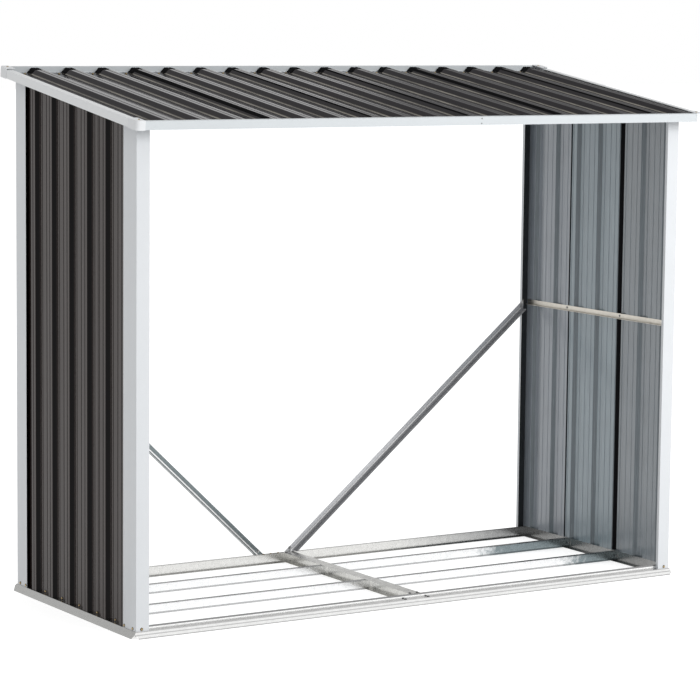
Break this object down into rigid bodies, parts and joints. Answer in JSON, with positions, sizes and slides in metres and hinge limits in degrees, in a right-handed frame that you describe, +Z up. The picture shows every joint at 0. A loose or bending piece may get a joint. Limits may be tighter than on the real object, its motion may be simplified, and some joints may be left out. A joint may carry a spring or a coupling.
{
  "type": "metal log store",
  "caption": "Open metal log store: ribbed sheet sides and lean-to roof on white angle posts, a galvanised floor frame and a V brace across the open back.",
  "frame": {"origin": "on the ground under the middle of the object's box", "axes": "+X along the store, the open front faces -Y, +Z up"},
  "size_m": [2.45, 1.091, 1.9666],
  "materials": {
    "galvanised_steel": "zinc-coated steel with a soft spangle",
    "white_trim": "white coil-coated steel, satin",
    "dark_sheet": "dark brown-grey coil coating outside, pale blue-grey backing coat inside",
    "roof_sheet": "dark brown-grey coil coating, satin",
    "white_cap": "white moulded plastic"
  },
  "bodies": {
    "root": {"base_rail_front_left": "galvanised_steel", "base_rail_back_left": "galvanised_steel", "base_rail_side_left": "galvanised_steel", "cross_member_left": "galvanised_steel", "floor_joist_front_left": "galvanised_steel", "floor_joist_back_left": "galvanised_steel", "post_front_left": "white_trim", "post_back_left": "white_trim", "base_rail_front_right": "galvanised_steel", "base_rail_back_right": "galvanised_steel", "base_rail_side_right": "galvanised_steel", "cross_member_right": "galvanised_steel", "floor_joist_front_right": "galvanised_steel", "floor_joist_back_right": "galvanised_steel", "post_front_right": "white_trim", "post_back_right": "white_trim", "wall_sheet_front_left": "dark_sheet", "wall_sheet_middle_left": "dark_sheet", "wall_sheet_back_left": "dark_sheet", "mid_rail_left": "galvanised_steel", "back_brace_left": "galvanised_steel", "wall_sheet_front_right": "dark_sheet", "wall_sheet_middle_right": "dark_sheet", "wall_sheet_back_right": "dark_sheet", "mid_rail_right": "galvanised_steel", "back_brace_right": "galvanised_steel", "roof_beam_front": "galvanised_steel", "roof_beam_back": "galvanised_steel", "roof_sheet_1": "roof_sheet", "roof_sheet_2": "roof_sheet", "roof_sheet_3": "roof_sheet", "roof_sheet_4": "roof_sheet", "roof_sheet_5": "roof_sheet", "roof_sheet_6": "roof_sheet", "fascia_front_left": "white_trim", "fascia_front_right": "white_trim", "fascia_back_left": "white_trim", "fascia_back_right": "white_trim", "fascia_side_left": "white_trim", "roof_cap_front_left": "white_cap", "roof_cap_back_left": "white_cap", "fascia_side_right": "white_trim", "roof_cap_front_right": "white_cap", "roof_cap_back_right": "white_cap"}
  },
  "joints": []
}
